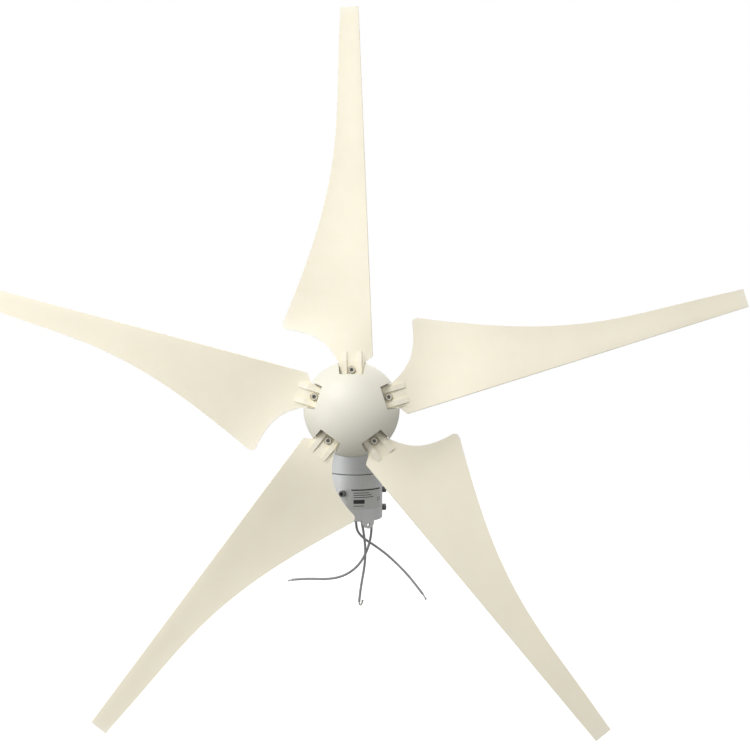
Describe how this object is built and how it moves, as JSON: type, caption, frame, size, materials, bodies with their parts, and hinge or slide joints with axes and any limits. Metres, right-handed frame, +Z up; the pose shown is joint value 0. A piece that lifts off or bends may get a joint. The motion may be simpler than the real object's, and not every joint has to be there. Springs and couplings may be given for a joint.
{
  "type": "small wind turbine",
  "caption": "Small upwind horizontal-axis wind turbine with twisted blades, domed nose cone, yawing nacelle with tail, pole-top sleeve and output leads.",
  "frame": {"origin": "on the yaw axis, at the end stop of the pole socket: the centre of the pole's top end", "axes": "+Z up along the yaw and pole axis, the rotor faces -Y, +X to the right seen from in front of the rotor"},
  "size_m": [1.1587, 0.6664, 1.0696],
  "materials": {
    "blade_plastic": "satin moulded glass-filled nylon, cream",
    "nose_plastic": "satin moulded plastic, light grey",
    "body_paint": "aluminium castings with mid grey paint",
    "dark_steel": "black oxide on steel screws",
    "bright_steel": "ground or zinc-plated steel",
    "cast_aluminium": "machined aluminium",
    "lamination": "stacked electrical steel",
    "copper": "enamelled copper wire",
    "magnet": "nickel-plated magnets",
    "slip_brass": "polished slip rings",
    "carbon": "carbon brush",
    "insulator": "moulded insulating plastic",
    "rubber": "seals and gasket",
    "label_film": "printed label film",
    "lead_jacket": "grey lead insulation"
  },
  "bodies": {
    "base": {"pole_sleeve": "body_paint", "pole_clamp_screws": "dark_steel", "yaw_shaft": "bright_steel", "yaw_shaft_screws": "dark_steel", "upper_yaw_bearing_inner": "bright_steel", "lower_yaw_bearing_inner": "bright_steel", "yaw_lock_nut": "bright_steel", "slip_ring_core": "insulator", "slip_rings": "slip_brass", "cable_grommet": "rubber", "rating_label": "label_film", "lead_1": "lead_jacket", "lead_2": "lead_jacket", "lead_3": "lead_jacket"},
    "nacelle": {"nacelle_housing": "body_paint", "front_bearing_outer": "bright_steel", "rear_bearing_outer": "bright_steel", "shaft_seal": "rubber", "stator_core": "lamination", "stator_windings": "copper", "bearing_plate": "cast_aluminium", "bearing_plate_bolts": "dark_steel", "cover_gasket": "rubber", "rear_cover": "body_paint", "rear_cover_screws": "dark_steel", "tail_boom": "body_paint", "tail_fin": "blade_plastic", "tail_bolts": "dark_steel", "upper_yaw_bearing_outer": "bright_steel", "lower_yaw_bearing_outer": "bright_steel", "neck_seal": "rubber", "brush_holder": "insulator", "brush_holder_screws": "bright_steel", "brush_spring_1": "bright_steel", "brush_spring_2": "bright_steel", "brush_spring_3": "bright_steel"},
    "rotor": {"nose_cone": "nose_plastic", "hub_plate": "cast_aluminium", "blade_1": "blade_plastic", "blade_2": "blade_plastic", "blade_3": "blade_plastic", "blade_4": "blade_plastic", "blade_5": "blade_plastic", "blade_clamp_ring": "bright_steel", "outer_blade_bolts": "dark_steel", "inner_blade_bolts": "dark_steel", "nose_cone_screws": "bright_steel", "hub_nut": "bright_steel", "hub_washer": "bright_steel", "hub_key": "bright_steel", "main_shaft": "bright_steel", "shaft_circlip": "bright_steel", "front_bearing_inner": "bright_steel", "rear_bearing_inner": "bright_steel", "magnet_carrier": "bright_steel", "rotor_magnets": "magnet"},
    "brush_1_body": {"brush_1": "carbon"},
    "brush_2_body": {"brush_2": "carbon"},
    "brush_3_body": {"brush_3": "carbon"}
  },
  "joints": [
    {"name": "nacelle_yaw", "type": "hinge", "parent": "base", "child": "nacelle", "pos_m": [0, 0, 0], "axis": [0, 0, 1], "continuous": true},
    {"name": "rotor_spin", "type": "hinge", "parent": "nacelle", "child": "rotor", "pos_m": [0, -0.112, 0.1267], "axis": [0, 0.989, -0.1478], "continuous": true},
    {"name": "brush_1_travel", "type": "slide", "parent": "nacelle", "child": "brush_1_body", "axis": [0, 1, 0], "range_m": [0, 0.004], "stiffness_N_per_m": 300, "springref_m": -0.004, "deforming": ["brush_spring_1"]},
    {"name": "brush_2_travel", "type": "slide", "parent": "nacelle", "child": "brush_2_body", "axis": [0, 1, 0], "range_m": [0, 0.004], "stiffness_N_per_m": 300, "springref_m": -0.004, "deforming": ["brush_spring_2"]},
    {"name": "brush_3_travel", "type": "slide", "parent": "nacelle", "child": "brush_3_body", "axis": [0, 1, 0], "range_m": [0, 0.004], "stiffness_N_per_m": 300, "springref_m": -0.004, "deforming": ["brush_spring_3"]}
  ]
}
